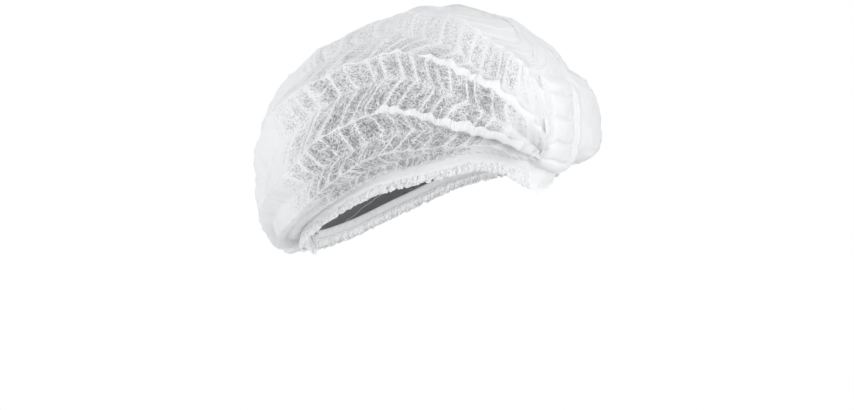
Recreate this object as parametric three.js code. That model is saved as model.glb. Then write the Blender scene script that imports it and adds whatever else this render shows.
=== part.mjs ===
// Disposable pleated cap of thin non-woven cloth, in the rounded form it has in use.
// The cap is one strip of cloth in accordion pleats. The pleats run from a folded end at the front, over the
// top, to a folded end at the back, and open between them into a puffed crown. An elastic and a gathered
// ruffle run along each side of the strip. Millimetres, +Z up. The front is at -Y and the right side at -X.
import * as THREE from "three";

// Driving dimensions
const CROWN_TOP = 132.5; // height of the crown's highest point
const CLOTH_WALL = 1.5; // thickness of the crown's wall
const FIT_GAP = 0.3; // gap between pieces that meet
const FOLD_RADIUS = 125; // mean radius of the fold lines that run over the top

// Outline of the cap, a row for each direction around it: azimuth 0 is the front and 180 the back.
// The rim is the crown's lower edge on the elastic, and the bulge is where the crown is widest. droop is how
// far the cloth hangs below its rim, and round is 2 for an ellipse and more for a fuller shoulder.
const OUTLINE = [
  { azimuth: 0, rimRadius: 97, rimHeight: 15, bulgeRadius: 112, bulgeHeight: 44, droop: 1, round: 2.4 },
  { azimuth: 22, rimRadius: 94, rimHeight: 21, bulgeRadius: 114, bulgeHeight: 44, droop: 0, round: 2.3 },
  { azimuth: 42, rimRadius: 89, rimHeight: 27, bulgeRadius: 112, bulgeHeight: 50, droop: 0, round: 2.2 },
  { azimuth: 68, rimRadius: 83, rimHeight: 19, bulgeRadius: 109, bulgeHeight: 44, droop: 1, round: 2.2 },
  { azimuth: 95, rimRadius: 80, rimHeight: 9, bulgeRadius: 108, bulgeHeight: 30, droop: 3, round: 2.2 },
  { azimuth: 125, rimRadius: 85, rimHeight: -11, bulgeRadius: 115, bulgeHeight: 8, droop: 11, round: 2.1 },
  { azimuth: 155, rimRadius: 92, rimHeight: -31, bulgeRadius: 123, bulgeHeight: -8, droop: 15, round: 2.05 },
  { azimuth: 180, rimRadius: 94, rimHeight: -37, bulgeRadius: 126, bulgeHeight: -10, droop: 16, round: 2.05 },
];

// The wall between rim and bulge: at is the share of the way from rim to top where the crown is widest, under
// how far out the cloth sags and beside how far up it turns upright.
const BULGE = { at: 0.24, under: 0.6, beside: 0.35 };

// Pleats of the strip, and the crimps that cross them in a herringbone. lean is a share of the way from front
// to back.
const PLEAT = { panels: 18, clothWidth: 22.2, leastRise: 0.9, mostRise: 4, steepest: 0.55, rimFade: 0.05 };
const CRIMP = { rows: 56, rise: 0.8, lean: 0.0115 };

// The puff of cloth that stands out and sags on the left of the front. edge is near 0 for a sharp edge
// and 1 for a soft one.
const PUFF = { azimuth: 27, halfSpan: 30, rise: 16, sag: 9, foot: 0.01, top: 0.43, edge: 0.45 };

// Folded ends of the strip, where the pleats still lie on each other: right and left are how far it reaches
// to each side of the middle as a share of the radius, top the share of the way to the crown's top that it
// reaches, rise the height of the fold, dents its cross creases, and tailRight and tailLeft how far its lower
// edge goes below the rim.
const FOLDED_END = {
  front: { right: 0.31, left: 0.1, top: 0.46, rise: 4, dents: 6, dentDepth: 1.3, tailRight: 17, tailLeft: 5 },
  back: { right: 0.1, left: 0.1, top: 0.46, rise: 3.6, dents: 6, dentDepth: 1.2, tailRight: 14, tailLeft: 14 },
};
const LAYERS = { columns: 8, rows: 26, tailRows: 3, lip: 0.6, edge: 0.5, crease: 8, taper: 0.25 };

// Elastic and ruffle under the crown's rim: gathered is the share of the ruffle's wave left at its top.
const ELASTIC = { height: 8.2, thick: 1.6, steps: 44 };
const RUFFLE = { height: 5.8, thick: 1.3, wave: 2.1, waves: 36, flare: 1.6, gathered: 0.3 };
const RIM_END_GAP = 0.6; // degrees between a strip's end and the folded end beside it

const CLOTH_COLOUR = 0xf2f3f2;
const ELASTIC_COLOUR = 0xfafaf8;

const END_CLEARANCE = (3 * FIT_GAP) / FOLD_RADIUS; // gap beside the folded ends, as a share of the radius
const NORMAL_STEP = 1e-3; // step for measuring a surface's slope

const { clamp, degToRad, lerp: mix, radToDeg, smoothstep } = THREE.MathUtils;

// Smooth curve through one column of the outline table, level at the front and at the back.
function outlineColumn(name) {
  const curve = new THREE.CubicInterpolant(
    OUTLINE.map((row) => row.azimuth),
    OUTLINE.map((row) => row[name]),
    1,
  );
  curve.settings = { endingStart: THREE.ZeroSlopeEnding, endingEnd: THREE.ZeroSlopeEnding };
  return (azimuth) => curve.evaluate(Math.min(Math.abs(azimuth), 180))[0];
}

const outline = Object.fromEntries(
  Object.keys(OUTLINE[0])
    .filter((name) => name !== "azimuth")
    .map((name) => [name, outlineColumn(name)]),
);

// Radius and height of the crown's smooth form at a share of the way up, from rim to top, in one direction.
function crownProfile(azimuth, share) {
  const rim = new THREE.Vector2(outline.rimRadius(azimuth), outline.rimHeight(azimuth));
  const bulge = new THREE.Vector2(outline.bulgeRadius(azimuth), outline.bulgeHeight(azimuth));
  if (share < BULGE.at) {
    const sagged = new THREE.Vector2(mix(rim.x, bulge.x, BULGE.under), rim.y - 2 * outline.droop(azimuth));
    const upright = new THREE.Vector2(bulge.x, mix(rim.y, bulge.y, BULGE.beside));
    return new THREE.CubicBezierCurve(rim, sagged, upright, bulge).getPoint(share / BULGE.at);
  }
  const angle = (0.5 * Math.PI * (share - BULGE.at)) / (1 - BULGE.at);
  const n = outline.round(azimuth);
  const [across, up] = [Math.max(Math.cos(angle), 0), Math.sin(angle)];
  const scale = (across ** n + up ** n) ** (-1 / n);
  return new THREE.Vector2(bulge.x * across * scale, bulge.y + (CROWN_TOP - bulge.y) * up * scale);
}

// How far the left puff carries the cloth outwards and up at a place on the crown.
function puffShift(azimuth, share) {
  const away = (azimuth - PUFF.azimuth) / PUFF.halfSpan;
  const up = (share - PUFF.foot) / (PUFF.top - PUFF.foot);
  if (Math.abs(away) >= 1 || up <= 0 || up >= 1) return { out: 0, up: 0 };
  const fullness = Math.cos(0.5 * Math.PI * away) ** 2 * Math.sin(Math.PI * up) ** PUFF.edge;
  return { out: PUFF.rise * fullness, up: -PUFF.sag * fullness * (1 - up) };
}

function aroundCap(azimuth, radius, height) {
  const turn = degToRad(azimuth);
  return new THREE.Vector3(radius * Math.sin(turn), -radius * Math.cos(turn), height);
}

// Point of the crown's smooth form for a direction on a unit half globe with its base on the rim.
function crownPoint(direction) {
  const share = Math.asin(clamp(direction.z, 0, 1)) / (0.5 * Math.PI);
  const azimuth = radToDeg(Math.atan2(direction.x, -direction.y));
  const { x: radius, y: height } = crownProfile(azimuth, share);
  const puff = puffShift(azimuth, share);
  return aroundCap(azimuth, radius + puff.out, height + puff.up);
}

// Fold lines are half circles of the globe from front to back: along runs from 0 at the front to 1 at the back,
// and across from 0 at the right rim, over the top, to 1 at the left rim.
function foldDirection(along, across) {
  const [a, b] = [Math.PI * along, Math.PI * across];
  return new THREE.Vector3(-Math.sin(a) * Math.cos(b), -Math.cos(a), Math.sin(a) * Math.sin(b));
}

// A direction from its sideways part and its share of the way up, in front or at the back.
function endDirection(sideways, share, facing) {
  const up = Math.sin(0.5 * Math.PI * share);
  return new THREE.Vector3(sideways, -facing * Math.sqrt(1 - sideways ** 2 - up ** 2), up);
}

// Normal of a surface that is given by a function of two numbers, on the side where the second one turns to
// the first.
function normalOf(surface, first, second) {
  const alongFirst = surface(first + NORMAL_STEP, second).sub(surface(first - NORMAL_STEP, second));
  const alongSecond = surface(first, second + NORMAL_STEP).sub(surface(first, second - NORMAL_STEP));
  return alongSecond.cross(alongFirst).normalize();
}

// Closed solid between two grids of points of the same size, the first one outside.
function wallGeometry(outer, inner) {
  const rows = outer.length;
  const columns = outer[0].length;
  const positions = [...outer.flat(), ...inner.flat()].flatMap((p) => p.toArray());
  const outside = (i, j) => i * columns + j;
  const inside = (i, j) => rows * columns + i * columns + j;
  const index = [];
  const quad = (a, b, c, d) => index.push(a, b, c, a, c, d);
  for (let i = 0; i < rows - 1; i++) {
    for (let j = 0; j < columns - 1; j++) {
      quad(outside(i, j), outside(i, j + 1), outside(i + 1, j + 1), outside(i + 1, j));
      quad(inside(i, j), inside(i + 1, j), inside(i + 1, j + 1), inside(i, j + 1));
    }
    const last = columns - 1;
    quad(outside(i, 0), outside(i + 1, 0), inside(i + 1, 0), inside(i, 0));
    quad(outside(i, last), inside(i, last), inside(i + 1, last), outside(i + 1, last));
  }
  for (let j = 0; j < columns - 1; j++) {
    const last = rows - 1;
    quad(outside(0, j), inside(0, j), inside(0, j + 1), outside(0, j + 1));
    quad(outside(last, j), outside(last, j + 1), inside(last, j + 1), inside(last, j));
  }
  const geometry = new THREE.BufferGeometry();
  geometry.setAttribute("position", new THREE.Float32BufferAttribute(positions, 3));
  geometry.setIndex(index);
  geometry.computeVertexNormals();
  return geometry;
}

function clothMaterial() {
  return new THREE.MeshStandardMaterial({ color: CLOTH_COLOUR, roughness: 0.9, metalness: 0 });
}

function elasticMaterial() {
  return new THREE.MeshStandardMaterial({ color: ELASTIC_COLOUR, roughness: 0.75, metalness: 0 });
}

function named(name, geometry, material) {
  const mesh = new THREE.Mesh(geometry, material);
  mesh.name = name;
  return mesh;
}

// Where a fold line leaves a folded end: at its side or over its top, whichever comes first.
function endReach(end, across) {
  const sideways = Math.abs(Math.cos(Math.PI * across));
  const up = Math.sin(Math.PI * across);
  const spread = across < 0.5 ? end.right : end.left;
  const side = (spread + END_CLEARANCE) / Math.max(sideways, spread);
  const over = Math.sin(0.5 * Math.PI * (end.top + END_CLEARANCE)) / Math.max(up, spread);
  return Math.asin(Math.min(side, over, 1)) / Math.PI;
}

// Share of the way to the crown's top that a folded end reaches at a sideways place: a clearance below the
// line that joins the places where the fold lines leave it.
function endTop(end, sideways) {
  const leaves = [];
  for (let j = 0; j <= PLEAT.panels; j++) {
    leaves.push(foldDirection(endReach(end, j / PLEAT.panels), j / PLEAT.panels));
  }
  const j = leaves.findIndex((leave, i) => leave.x <= sideways && sideways < leaves[i + 1]?.x);
  const share = (sideways - leaves[j].x) / (leaves[j + 1].x - leaves[j].x);
  return Math.asin(mix(leaves[j].z, leaves[j + 1].z, share)) / (0.5 * Math.PI) - END_CLEARANCE;
}

// Pleated crown: a herringbone of pleats and crimps on the smooth form.
function crown() {
  const place = (along, across) => crownPoint(foldDirection(along, across));
  const pleatRise = (along) => {
    const gap = (Math.PI * Math.sin(Math.PI * along) * FOLD_RADIUS) / PLEAT.panels;
    const folded = 0.5 * Math.sqrt(Math.max(PLEAT.clothWidth ** 2 - gap ** 2, 0));
    return Math.max(Math.min(folded, PLEAT.mostRise, PLEAT.steepest * gap), Math.min(PLEAT.leastRise, gap));
  };
  const outer = [];
  const inner = [];
  for (let i = 0; i <= CRIMP.rows; i++) {
    const outerRow = [];
    const innerRow = [];
    for (let j = 0; j <= PLEAT.panels; j++) {
      const across = j / PLEAT.panels;
      const start = endReach(FOLDED_END.front, across);
      const stop = 1 - endReach(FOLDED_END.back, across);
      const inField = i > 0 && i < CRIMP.rows;
      const side = j % 2 ? -1 : 1;
      const along = mix(start, stop, i / CRIMP.rows) + (inField ? side * CRIMP.lean : 0);
      const fade = smoothstep(Math.min(across, 1 - across), 0, PLEAT.rimFade);
      const crimp = inField ? (i % 2 ? CRIMP.rise : -CRIMP.rise) : 0;
      const rise = fade * (side * pleatRise(along) + crimp);
      const normal = normalOf(place, along, clamp(across, 2 * NORMAL_STEP, 1 - 2 * NORMAL_STEP));
      const point = place(along, across).addScaledVector(normal, rise);
      outerRow.push(point);
      innerRow.push(point.clone().addScaledVector(normal, -CLOTH_WALL));
    }
    outer.push(outerRow);
    inner.push(innerRow);
  }
  return named("crown", wallGeometry(outer, inner), clothMaterial());
}

// Folded end of the strip: a thick band up the crown, creased across, with a tail down to the ruffle's edge.
function foldedEnd(name, end, facing) {
  const place = (share, sideways) => {
    const base = crownPoint(endDirection(sideways, Math.max(share, 0), facing));
    const tail = mix(end.tailRight, end.tailLeft, (sideways + end.right) / (end.left + end.right));
    return base.setZ(base.z + Math.min(share, 0) * tail);
  };
  const outer = [];
  const inner = [];
  const { columns, rows, tailRows } = LAYERS;
  for (let i = 0; i <= rows; i++) {
    const step = i / rows;
    const dent = end.dentDepth * Math.cos(Math.PI * end.dents * step) ** LAYERS.crease;
    const taper = smoothstep(1 - step, 0, LAYERS.taper);
    const outerRow = [];
    const innerRow = [];
    for (let j = 0; j <= columns; j++) {
      const fromRight = facing > 0 ? j / columns : 1 - j / columns;
      const sideways = mix(-end.right, end.left, fromRight);
      const top = endTop(end, sideways);
      const share = i < tailRows ? i / tailRows - 1 : (top * (i - tailRows)) / (rows - tailRows);
      const layer = j % 2 ? LAYERS.edge : -LAYERS.edge;
      const normal = normalOf(place, Math.max(share, 2 * NORMAL_STEP), sideways).multiplyScalar(facing);
      const point = place(share, sideways);
      outerRow.push(point.clone().addScaledVector(normal, LAYERS.lip + taper * (end.rise - dent + layer)));
      innerRow.push(point.clone().addScaledVector(normal, -CLOTH_WALL));
    }
    outer.push(outerRow);
    inner.push(innerRow);
  }
  return named(name, wallGeometry(outer, inner), clothMaterial());
}

// Azimuths between which the rim of one side runs, clear of the folded ends.
function rimSpan(side) {
  const sideName = side < 0 ? "right" : "left";
  const first = radToDeg(Math.asin(FOLDED_END.front[sideName])) + RIM_END_GAP;
  const last = 180 - radToDeg(Math.asin(FOLDED_END.back[sideName])) - RIM_END_GAP;
  return [first, last];
}

// Strip under the rim of one side, given the section of its wall at each step along the rim.
function rimStrip(name, side, steps, section, material) {
  const outer = [];
  const inner = [];
  for (let i = 0; i <= steps; i++) {
    const azimuth = side * mix(...rimSpan(side), i / steps);
    const rim = crownProfile(azimuth, 0);
    const at = (out, drop) => aroundCap(azimuth, rim.x + out, rim.y - drop);
    const { upper, lower, thick } = section(i);
    outer.push([at(upper.out, upper.drop), at(lower.out, lower.drop)]);
    inner.push([at(upper.out - thick, upper.drop), at(lower.out - thick, lower.drop)]);
  }
  if (side < 0) {
    outer.reverse();
    inner.reverse();
  }
  return named(name, wallGeometry(outer, inner), material);
}

function elastic(name, side) {
  const section = () => ({
    upper: { out: 0, drop: FIT_GAP },
    lower: { out: 0, drop: FIT_GAP + ELASTIC.height },
    thick: ELASTIC.thick,
  });
  return rimStrip(name, side, ELASTIC.steps, section, elasticMaterial());
}

function ruffle(name, side) {
  const top = 2 * FIT_GAP + ELASTIC.height;
  const section = (step) => {
    const wave = step % 2 ? RUFFLE.wave : -RUFFLE.wave;
    return {
      upper: { out: RUFFLE.gathered * wave, drop: top },
      lower: { out: RUFFLE.flare + wave, drop: top + RUFFLE.height },
      thick: RUFFLE.thick,
    };
  };
  return rimStrip(name, side, 2 * RUFFLE.waves, section, clothMaterial());
}

const cap = new THREE.Group();
cap.add(
  crown(),
  foldedEnd("front_folded_end", FOLDED_END.front, 1),
  foldedEnd("back_folded_end", FOLDED_END.back, -1),
  elastic("elastic_right", -1),
  elastic("elastic_left", 1),
  ruffle("ruffle_right", -1),
  ruffle("ruffle_left", 1),
);

export default cap;
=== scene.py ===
import math
from types import SimpleNamespace

import bpy
import numpy as np
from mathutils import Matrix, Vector


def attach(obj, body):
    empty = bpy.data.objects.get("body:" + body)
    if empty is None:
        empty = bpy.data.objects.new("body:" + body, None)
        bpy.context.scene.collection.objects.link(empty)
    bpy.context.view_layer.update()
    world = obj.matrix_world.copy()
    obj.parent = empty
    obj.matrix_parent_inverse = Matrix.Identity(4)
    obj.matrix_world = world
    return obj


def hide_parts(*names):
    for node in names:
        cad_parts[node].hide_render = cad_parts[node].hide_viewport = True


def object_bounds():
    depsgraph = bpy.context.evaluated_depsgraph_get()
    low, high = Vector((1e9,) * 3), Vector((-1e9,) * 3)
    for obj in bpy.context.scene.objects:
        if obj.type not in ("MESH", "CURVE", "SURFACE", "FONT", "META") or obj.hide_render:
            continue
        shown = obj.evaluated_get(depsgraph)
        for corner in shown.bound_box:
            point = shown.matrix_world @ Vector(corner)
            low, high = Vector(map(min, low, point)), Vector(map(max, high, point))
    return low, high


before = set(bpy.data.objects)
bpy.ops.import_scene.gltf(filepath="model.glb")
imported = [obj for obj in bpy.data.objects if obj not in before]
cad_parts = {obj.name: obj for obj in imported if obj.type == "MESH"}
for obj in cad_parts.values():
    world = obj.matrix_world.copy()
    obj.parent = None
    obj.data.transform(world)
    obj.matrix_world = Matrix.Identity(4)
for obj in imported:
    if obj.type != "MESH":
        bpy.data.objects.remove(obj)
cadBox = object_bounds()
scene = bpy.context.scene
print("frame:", ", ".join(sorted(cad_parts)))

mm = 0.001  # the sizes below are in metres, most of them written as millimetres
tiny = 1e-12  # keeps divisions and powers away from zero

# Smooth form of the cap. Its front is at -Y. Azimuth 0 is the front, 180 the back, and plus is the left side
form = {
    "crownTop": 132.5 * mm,
    "bulgeAt": 0.24,  # share of the way from rim to top where the crown is widest
    "under": 0.6,  # how far out the cloth sags below its rim
    "beside": 0.35,  # how far up it turns upright
    "columns": ("azimuth", "rimRadius", "rimHeight", "bulgeRadius", "bulgeHeight", "droop", "roundness"),
    "outline": [
        (0, 97, 15, 112, 44, 1, 2.4),
        (22, 94, 21, 114, 44, 0, 2.3),
        (42, 89, 27, 112, 50, 0, 2.2),
        (68, 83, 19, 109, 44, 1, 2.2),
        (95, 80, 9, 108, 30, 3, 2.2),
        (125, 85, -11, 115, 8, 11, 2.1),
        (155, 92, -31, 123, -8, 15, 2.05),
        (180, 94, -37, 126, -10, 16, 2.05),
    ],
    "foldRadius": 125 * mm,  # mean radius of the fold lines over the top
}

# Puff of cloth that stands out on the left of the front
puff = {
    "azimuth": 27, "halfSpan": 30, "rise": 17 * mm, "sag": 9 * mm,
    "foot": 0.01, "top": 0.46, "edge": 0.4,
}

slopeStep = 1e-3  # step for measuring how the form slopes


def smooth(value, low, high):
    x = np.clip((value - low) / (high - low), 0, 1)
    return x * x * (3 - 2 * x)


def fade(value, low, high):  # the way down that goes with smooth
    return 1 - smooth(value, low, high)


def mix(a, b, share):
    return a + (b - a) * share


def tent(x):  # 1 at whole numbers, -1 halfway between them
    return 1 - 4 * np.abs(x - np.round(x))


def tableAt(table, value, unit=1.0):  # straight lines through pairs of place and amount
    places, amounts = np.array(table, float).T
    return np.interp(value, places, amounts * unit)


def outlineAt(name, azimuth):  # smooth curve through one column of the outline, level at front and back
    column = form["columns"].index(name)
    turns = np.array([row[0] for row in form["outline"]], float)
    values = np.array([row[column] for row in form["outline"]], float)
    steps = np.diff(values) / np.diff(turns)
    slopes = np.concatenate([[0], (steps[:-1] + steps[1:]) / 2, [0]])
    turn = np.minimum(np.abs(azimuth), 180)
    i = np.clip(np.searchsorted(turns, turn, side="right") - 1, 0, len(turns) - 2)
    span = turns[i + 1] - turns[i]
    p = (turn - turns[i]) / span
    fall = (1 + 2 * p) * (1 - p) ** 2
    return (fall * values[i] + (1 - fall) * values[i + 1]
            + span * p * (1 - p) * ((1 - p) * slopes[i] - p * slopes[i + 1]))


def crownProfile(azimuth, share):  # radius and height at a share of the way from rim to top
    *sizes, n = (outlineAt(name, azimuth) for name in form["columns"][1:])
    rimR, rimZ, bulgeR, bulgeZ, droop = (size * mm for size in sizes)
    p = np.clip(share / form["bulgeAt"], 0, 1)
    b0, b1, b2, b3 = (1 - p) ** 3, 3 * p * (1 - p) ** 2, 3 * p * p * (1 - p), p ** 3
    lowR = b0 * rimR + b1 * mix(rimR, bulgeR, form["under"]) + (b2 + b3) * bulgeR
    lowZ = b0 * rimZ + b1 * (rimZ - 2 * droop) + b2 * mix(rimZ, bulgeZ, form["beside"]) + b3 * bulgeZ
    angle = math.pi / 2 * np.clip((share - form["bulgeAt"]) / (1 - form["bulgeAt"]), 0, 1)
    across, up = np.maximum(np.cos(angle), tiny), np.maximum(np.sin(angle), tiny)
    scale = (across ** n + up ** n) ** (-1 / n)
    low = share < form["bulgeAt"]
    radius = np.where(low, lowR, bulgeR * across * scale)
    return radius, np.where(low, lowZ, bulgeZ + (form["crownTop"] - bulgeZ) * up * scale)


def aroundCap(azimuth, radius, height):
    turn = np.radians(azimuth)
    return np.stack([radius * np.sin(turn), -radius * np.cos(turn), height], -1)


def crownPoint(direction):  # point of the form for a direction on a half globe that stands on the rim
    share = np.arcsin(np.clip(direction[..., 2], 0, 1)) / (math.pi / 2)
    azimuth = np.degrees(np.arctan2(direction[..., 0], -direction[..., 1]))
    radius, height = crownProfile(azimuth, share)
    away = np.clip((azimuth - puff["azimuth"]) / puff["halfSpan"], -1, 1)
    up = np.clip((share - puff["foot"]) / (puff["top"] - puff["foot"]), 0, 1)
    full = np.cos(math.pi / 2 * away) ** 2 * np.maximum(np.sin(math.pi * up), 0) ** puff["edge"]
    return aroundCap(azimuth, radius + puff["rise"] * full, height - puff["sag"] * full * (1 - up))


def foldPoint(along, across):  # along runs from front to back, across from the right rim to the left one
    a, b = np.broadcast_arrays(math.pi * along, math.pi * across)
    return crownPoint(np.stack([-np.sin(a) * np.cos(b), -np.cos(a), np.sin(a) * np.sin(b)], -1))


def normalOf(surface, first, second):  # normal on the side where the second direction turns to the first
    du = surface(first + slopeStep, second) - surface(first - slopeStep, second)
    dv = surface(first, second + slopeStep) - surface(first, second - slopeStep)
    normal = np.cross(dv, du)
    return normal / np.maximum(np.linalg.norm(normal, axis=-1, keepdims=True), tiny)


def ripples(points, waves, wavelength, seed):  # seeded plane waves, about -1 to 1, for creases in the cloth
    rng = np.random.default_rng(seed)
    total = np.zeros(points.shape[:-1])
    for _ in range(waves):
        turn = rng.normal(size=3)
        turn /= np.linalg.norm(turn)
        length = rng.uniform(*wavelength)
        total += np.sin(points @ turn * (2 * math.pi / length) + rng.uniform(0, 2 * math.pi))
    return total / math.sqrt(waves)


def asFloats(values):  # one flat run of floats, as foreach_set takes it
    return values.reshape(-1).astype(np.float32)


def gridPiece(name, points, uv, marks, material):  # a sheet from rows and columns of points, faces outwards
    rows, columns = points.shape[:2]
    index = np.arange(rows * columns).reshape(rows, columns)
    quads = np.stack([index[:-1, :-1], index[:-1, 1:], index[1:, 1:], index[1:, :-1]], -1).reshape(-1, 4)
    mesh = bpy.data.meshes.new(name)
    mesh.vertices.add(rows * columns)
    mesh.vertices.foreach_set("co", asFloats(points))
    mesh.loops.add(quads.size)
    mesh.loops.foreach_set("vertex_index", quads.reshape(-1).astype(np.int32))
    mesh.polygons.add(len(quads))
    mesh.polygons.foreach_set("loop_start", np.arange(0, quads.size, 4, dtype=np.int32))
    mesh.update(calc_edges=True)
    uvLayer = mesh.uv_layers.new(name="clothUV")
    uvLayer.data.foreach_set("uv", asFloats(uv.reshape(-1, 2)[quads.reshape(-1)]))
    for key, values in marks.items():
        mesh.attributes.new(key, "FLOAT", "POINT").data.foreach_set("value", asFloats(values))
    mesh.polygons.foreach_set("use_smooth", np.ones(len(quads), bool))
    mesh.materials.append(material)
    mesh.validate()
    piece = bpy.data.objects.new(name, mesh)
    scene.collection.objects.link(piece)
    return piece


def clothCoordinates(points):  # metres along and across the cloth, measured on the sheet itself
    u = np.median(np.linalg.norm(np.diff(points, axis=0), axis=-1), axis=1)
    v = np.median(np.linalg.norm(np.diff(points, axis=1), axis=-1), axis=0)
    uu = np.concatenate([[0], np.cumsum(u)])[:, None]
    vv = np.concatenate([[0], np.cumsum(v)])[None, :]
    return np.stack(np.broadcast_arrays(uu, vv), -1)


# Node helpers

def feed(tree, socket, value):  # a link where the value is another node's socket, or else a plain value
    if isinstance(value, bpy.types.NodeSocket):
        tree.links.new(value, socket)
    elif value is not None:
        socket.default_value = value


def put(tree, kind, values=None, **settings):  # a node with its settings, and what its inputs get
    node = tree.nodes.new(kind)
    for key, value in settings.items():
        setattr(node, key, value)
    for key, value in (values or {}).items():
        feed(tree, node.inputs[key], value)
    return node


def math2(tree, operation, a, b=None, c=None, clamp=False):  # one Math node on sockets or numbers
    node = put(tree, "ShaderNodeMath", operation=operation, use_clamp=clamp)
    for socket, value in zip(node.inputs, (a, b, c)):
        feed(tree, socket, value)
    return node.outputs[0]


def vector2(tree, operation, a, b=None, scale=None):  # one Vector Math node on sockets or plain vectors
    node = put(tree, "ShaderNodeVectorMath", operation=operation)
    for socket, value in zip(node.inputs, (a, b)):
        feed(tree, socket, value)
    if scale is not None:
        feed(tree, node.inputs["Scale"], scale)
    return node.outputs["Value" if operation in ("DOT_PRODUCT", "LENGTH") else "Vector"]


# Web of fine fibres that all the finishes use: a fine grain, single fibres that cross in several directions,
# and curly ones where noise passes its middle value

straightFibres = [  # spacing of the fibres, half width of a fibre, direction
    {"spacing": 5.9 * mm, "line": 0.42 * mm, "turn": 0.15},
    {"spacing": 5.2 * mm, "line": 0.36 * mm, "turn": 0.95},
    {"spacing": 6.5 * mm, "line": 0.44 * mm, "turn": 1.6},
    {"spacing": 5.4 * mm, "line": 0.36 * mm, "turn": 2.25},
    {"spacing": 4.7 * mm, "line": 0.32 * mm, "turn": 2.8},
]
curlyFibres = {"loops": 7.5 * mm, "detail": 1.5, "line": 0.03}
fibreGrain = {"size": 1.5 * mm, "detail": 1.0, "contrast": 3.4, "most": 0.8}
fibreWaver = {"size": 11 * mm, "detail": 2.0, "swing": 5 * mm}
fibreBreaks = {"size": 6 * mm, "detail": 1.0, "shown": 0.47, "sharpness": 14.0}
fibrePatch = {"size": 7 * mm, "detail": 3.0}  # where the web is thicker or thinner


def buildFibreWeb():
    group = bpy.data.node_groups.new("fibreWeb", "ShaderNodeTree")
    group.interface.new_socket("Vector", in_out="INPUT", socket_type="NodeSocketVector")
    for name in ("Web", "Patch"):
        group.interface.new_socket(name, in_out="OUTPUT", socket_type="NodeSocketFloat")
    place = put(group, "NodeGroupInput").outputs["Vector"]

    def noiseAt(vector, size, detail, output="Fac"):  # noise with lumps of a size in metres
        values = {"Vector": vector, "Scale": 1 / size, "Detail": detail}
        return put(group, "ShaderNodeTexNoise", values, noise_dimensions="2D").outputs[output]

    grain = math2(group, "SUBTRACT", noiseAt(place, fibreGrain["size"], fibreGrain["detail"]), 0.5)
    grain = math2(group, "MULTIPLY_ADD", grain, fibreGrain["contrast"], 0.5, clamp=True)
    web = math2(group, "MULTIPLY", grain, fibreGrain["most"])
    waver = noiseAt(place, fibreWaver["size"], fibreWaver["detail"], "Color")
    waver = vector2(group, "SUBTRACT", waver, (0.5, 0.5, 0.5))
    waved = vector2(group, "ADD", place, vector2(group, "SCALE", waver, scale=fibreWaver["swing"]))
    for layer in straightFibres:
        across = vector2(group, "DOT_PRODUCT", waved, (math.cos(layer["turn"]), math.sin(layer["turn"]), 0))
        away = math2(group, "PINGPONG", across, layer["spacing"] / 2)
        line = math2(group, "SUBTRACT", 1.0, math2(group, "DIVIDE", away, layer["line"]), clamp=True)
        moved = vector2(group, "ADD", place, (layer["turn"], 3 * layer["turn"], 0))  # so that breaks differ
        shown = noiseAt(moved, fibreBreaks["size"], fibreBreaks["detail"])
        shown = math2(group, "SUBTRACT", shown, fibreBreaks["shown"])
        shown = math2(group, "MULTIPLY", shown, fibreBreaks["sharpness"], clamp=True)
        line = math2(group, "MULTIPLY", line, shown)
        web = math2(group, "MAXIMUM", web, line)
    loops = math2(group, "SUBTRACT", noiseAt(place, curlyFibres["loops"], curlyFibres["detail"]), 0.5)
    away = math2(group, "DIVIDE", math2(group, "ABSOLUTE", loops), curlyFibres["line"])
    web = math2(group, "MAXIMUM", web, math2(group, "SUBTRACT", 1.0, away, clamp=True))
    patch = noiseAt(place, fibrePatch["size"], fibrePatch["detail"])
    put(group, "NodeGroupOutput", {"Web": web, "Patch": patch})
    return group


fibreWeb = buildFibreWeb()

# Finish of the thin cloth: white fibres with gaps, closed where it is creased or lies in layers. Its inside
# faces can take a darker colour, a painted shade for the hollow of the cap

clothFinish = {
    "outside": (0.83, 0.834, 0.838, 1),
    "inside": (0.21, 0.2115, 0.214, 1),  # painted shade: dark grey on the inside faces, for the hollow, which lies in shade
    "lightCover": 0.9,  # share of the light that the cloth keeps out of the hollow
    "roughness": 0.85,
    "sheen": 0.25,
    "specular": 0.2,
    "shinesThrough": 0.3,  # share of the light that goes through the fibres
    "ground": 0.08,  # share of the plain cloth that its finest fibres close
    "least": 0.1,  # share that is closed everywhere
    "web": 0.6,  # what the fibres, the patches, the creases and the layers add to that
    "patch": 0.6,
    "crease": 0.8,
    "layers": 1.0,
    "slantest": 0.15,  # the web closes as the cloth turns away, down to this
    "closes": 0.65,  # how fast it does
    "hollowCover": 0.85,  # share that is closed on the far wall of the hollow, where the inside is painted dark as shade
    "bump": 0.35 * mm,
    "bumpStrength": (0.6, 0.1),  # on single cloth and on layers
    "more": {"thinCloth": 0.0, "foldedCloth": 0.35, "whiteFibre": 1.0},  # added to the ground
}


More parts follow.
